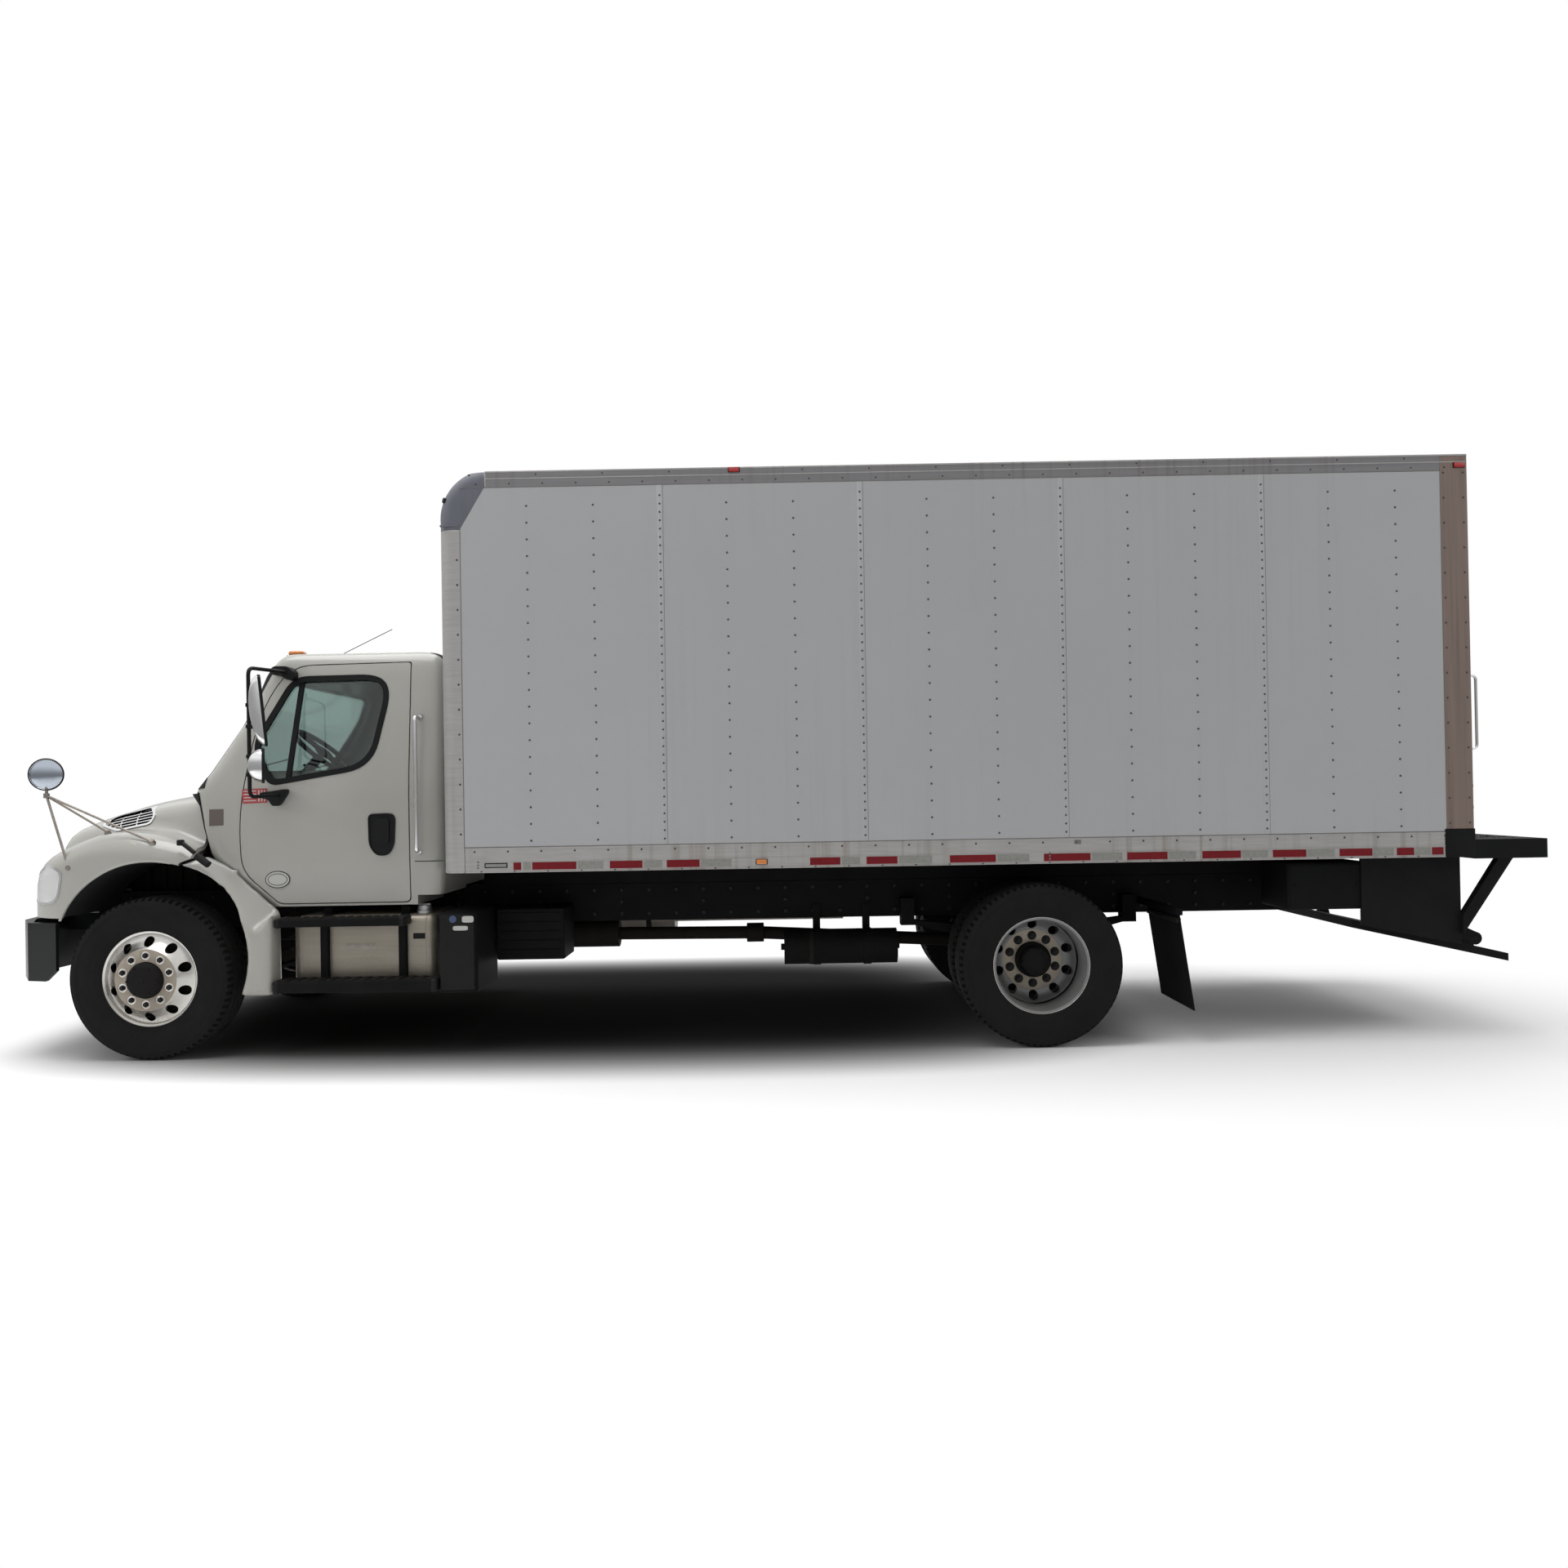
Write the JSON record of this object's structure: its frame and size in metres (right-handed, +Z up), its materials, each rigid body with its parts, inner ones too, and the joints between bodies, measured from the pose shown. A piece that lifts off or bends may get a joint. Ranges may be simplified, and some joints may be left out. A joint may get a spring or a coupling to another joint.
{
  "type": "box truck",
  "caption": "Bonneted medium-duty box truck with a riveted dry-freight body, twin rear wheels and a stowed tail lift.",
  "frame": {"origin": "on the ground under the middle of the truck's length and width", "axes": "+X forward, +Y to the truck's left side, +Z up"},
  "size_m": [9.536, 2.776, 3.5679],
  "materials": {
    "tyre": "satin",
    "polished_wheel": "polished",
    "grey_wheel": "satin",
    "chassis_black": "satin",
    "cast_iron": "matte",
    "cab_paint": "gloss",
    "bumper_paint": "gloss",
    "clear_glass": "clear",
    "lamp_lens": "clear",
    "bright_aluminium": "brushed",
    "box_skin": "satin",
    "cap_grey": "matte",
    "roof_skin": "matte",
    "steel_tank": "brushed",
    "black_plastic": "matte",
    "chrome": "polished",
    "rubber": "matte",
    "galvanised": "matte",
    "seat_fabric": "woven",
    "dash_plastic": "grained",
    "door_white": "satin",
    "floor_wood": "worn"
  },
  "bodies": {
    "chassis": {"frame_rails": "chassis_black", "front_axle": "cast_iron", "rear_axle": "cast_iron", "leaf_springs": "chassis_black", "engine_block": "cast_iron", "radiator": "black_plastic", "driveline": "cast_iron", "front_bumper": "bumper_paint", "fuel_tank": "bright_aluminium", "tool_box": "bright_aluminium", "cab_steps": "bright_aluminium", "side_box": "bright_aluminium", "battery_box": "black_plastic", "air_tank": "chassis_black", "exhaust": "steel_tank", "mud_flaps": "rubber", "cab_shell": "cab_paint", "cab_glass": "clear_glass", "dashboard": "dash_plastic", "steering_wheel": "black_plastic", "seats": "seat_fabric", "grab_handles": "chrome", "box_front_wall": "box_skin", "box_side_left": "box_skin", "box_side_right": "box_skin", "box_rails": "bright_aluminium", "corner_caps": "cap_grey", "box_roof": "roof_skin", "box_floor": "floor_wood", "rear_frame": "galvanised", "roll_up_door": "door_white", "rear_deck": "galvanised"},
    "hood": {"hood": "cab_paint", "headlamps": "lamp_lens", "grille": "chrome", "hood_mirrors": "chrome"},
    "left_door": {"door_left": "cab_paint", "door_glass_left": "clear_glass", "side_mirror_left": "black_plastic"},
    "right_door": {"door_right": "cab_paint", "door_glass_right": "clear_glass", "side_mirror_right": "black_plastic"},
    "left_knuckle": {"knuckle_left": "cast_iron"},
    "right_knuckle": {"knuckle_right": "cast_iron"},
    "track_rod": {"tie_rod": "chassis_black"},
    "front_left_wheel": {"wheel_front_left": "polished_wheel", "tyre_front_left": "tyre"},
    "front_right_wheel": {"wheel_front_right": "polished_wheel", "tyre_front_right": "tyre"},
    "rear_left_wheels": {"wheels_rear_left": "grey_wheel", "tyres_rear_left": "tyre"},
    "rear_right_wheels": {"wheels_rear_right": "grey_wheel", "tyres_rear_right": "tyre"},
    "lift_arm_frame": {"lift_arms": "chassis_black"},
    "lift_platform": {"lift_platform": "galvanised"}
  },
  "joints": [
    {"name": "hood_tilt", "type": "hinge", "parent": "chassis", "child": "hood", "pos_m": [4.693, 0, 0.866], "axis": [0, 1, 0], "range_deg": [0, 60]},
    {"name": "left_door_hinge", "type": "hinge", "parent": "chassis", "child": "left_door", "pos_m": [3.286, 1.016, 1.315], "axis": [0, 0, -1], "range_deg": [0, 68]},
    {"name": "right_door_hinge", "type": "hinge", "parent": "chassis", "child": "right_door", "pos_m": [3.286, -1.016, 1.315], "axis": [0, 0, 1], "range_deg": [0, 68]},
    {"name": "left_steer", "type": "hinge", "parent": "chassis", "child": "left_knuckle", "pos_m": [3.768, 0.9, 0.5], "axis": [0, 0, 1], "range_deg": [-35, 35]},
    {"name": "right_steer", "type": "hinge", "parent": "chassis", "child": "right_knuckle", "pos_m": [3.768, -0.9, 0.5], "axis": [0, 0, 1], "range_deg": [-35, 35]},
    {"name": "track_rod_pivot", "type": "hinge", "parent": "left_knuckle", "child": "track_rod", "pos_m": [3.578, 0.9, 0.363], "axis": [0, 0, 1], "range_deg": [-35, 35]},
    {"name": "front_left_spin", "type": "hinge", "parent": "left_knuckle", "child": "front_left_wheel", "pos_m": [3.768, 1.04, 0.5], "axis": [0, 1, 0], "continuous": true},
    {"name": "front_right_spin", "type": "hinge", "parent": "right_knuckle", "child": "front_right_wheel", "pos_m": [3.768, -1.04, 0.5], "axis": [0, 1, 0], "continuous": true},
    {"name": "rear_left_spin", "type": "hinge", "parent": "chassis", "child": "rear_left_wheels", "pos_m": [-1.696, 0.92, 0.5], "axis": [0, 1, 0], "continuous": true},
    {"name": "rear_right_spin", "type": "hinge", "parent": "chassis", "child": "rear_right_wheels", "pos_m": [-1.696, -0.92, 0.5], "axis": [0, 1, 0], "continuous": true},
    {"name": "lift_arms_hinge", "type": "hinge", "parent": "chassis", "child": "lift_arm_frame", "pos_m": [-3.852, 0, 0.86], "axis": [0, -1, 0], "range_deg": [0, 50]},
    {"name": "lift_platform_hinge", "type": "hinge", "parent": "lift_arm_frame", "child": "lift_platform", "pos_m": [-4.432, 0, 0.6], "axis": [0, -1, 0], "range_deg": [-50, 0]}
  ],
  "couplings": [
    {"joint": "right_steer", "follows": "left_steer", "ratio": 1},
    {"joint": "track_rod_pivot", "follows": "left_steer", "ratio": -1},
    {"joint": "lift_platform_hinge", "follows": "lift_arms_hinge", "ratio": -1}
  ]
}
